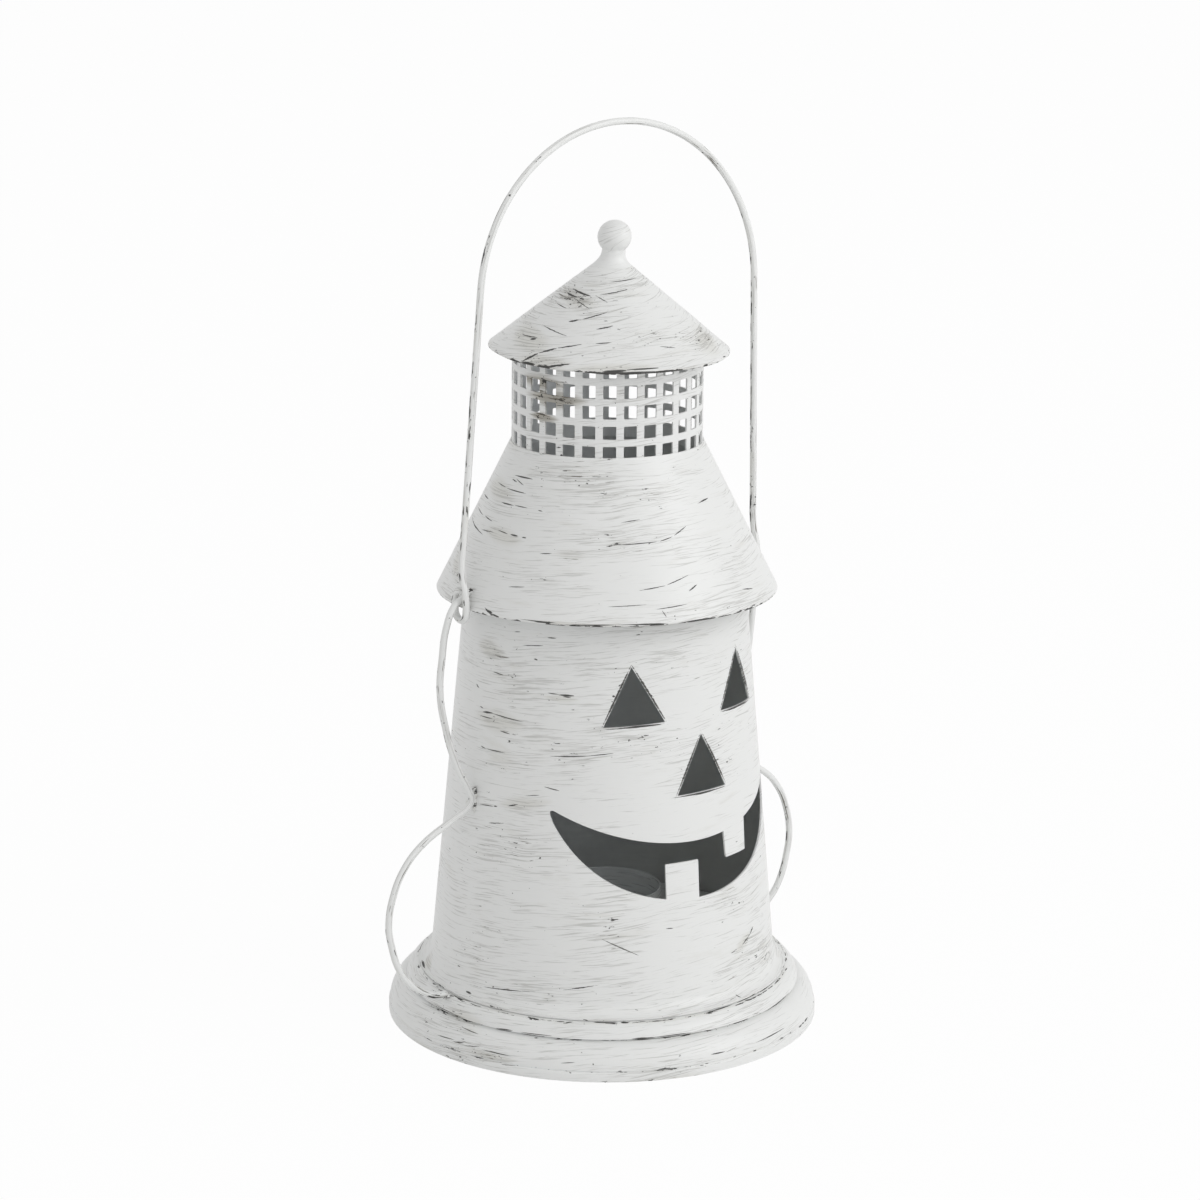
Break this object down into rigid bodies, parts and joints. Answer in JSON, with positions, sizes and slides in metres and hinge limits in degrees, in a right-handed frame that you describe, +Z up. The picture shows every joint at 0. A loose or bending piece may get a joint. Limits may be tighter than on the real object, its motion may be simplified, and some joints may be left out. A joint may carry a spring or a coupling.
{
  "type": "pumpkin lantern",
  "caption": "Sheet metal candle lantern with a cut-out jack-o'-lantern face, a punched vent collar, a conical roof with a ball finial, scroll side wires and a swinging wire bail.",
  "frame": {"origin": "on the table under the middle of the round base", "axes": "+Z up, the cut-out face looks toward -Y, the scroll wires and the bail's eyes lie at -X and +X"},
  "size_m": [0.2302, 0.19, 0.3963],
  "materials": {
    "white_paint": "brushed off-white paint, worn and streaked dark",
    "cup_metal": "satin grey",
    "steel": "plain"
  },
  "bodies": {
    "lantern": {"base_pan": "white_paint", "body_shell": "white_paint", "shoulder_hood": "white_paint", "vent_collar": "white_paint", "candle_cup": "cup_metal", "cup_rivet": "steel", "roof_cap": "white_paint", "roof_solder_front": "white_paint", "roof_solder_back": "white_paint", "finial": "white_paint", "finial_nut": "steel", "left_scroll": "white_paint", "right_scroll": "white_paint"},
    "bail": {"bail_handle": "white_paint"}
  },
  "joints": [
    {"name": "bail_swing", "type": "hinge", "parent": "lantern", "child": "bail", "pos_m": [0, 0, 0.1988], "axis": [1, 0, 0], "range_deg": [-152, 156]}
  ]
}
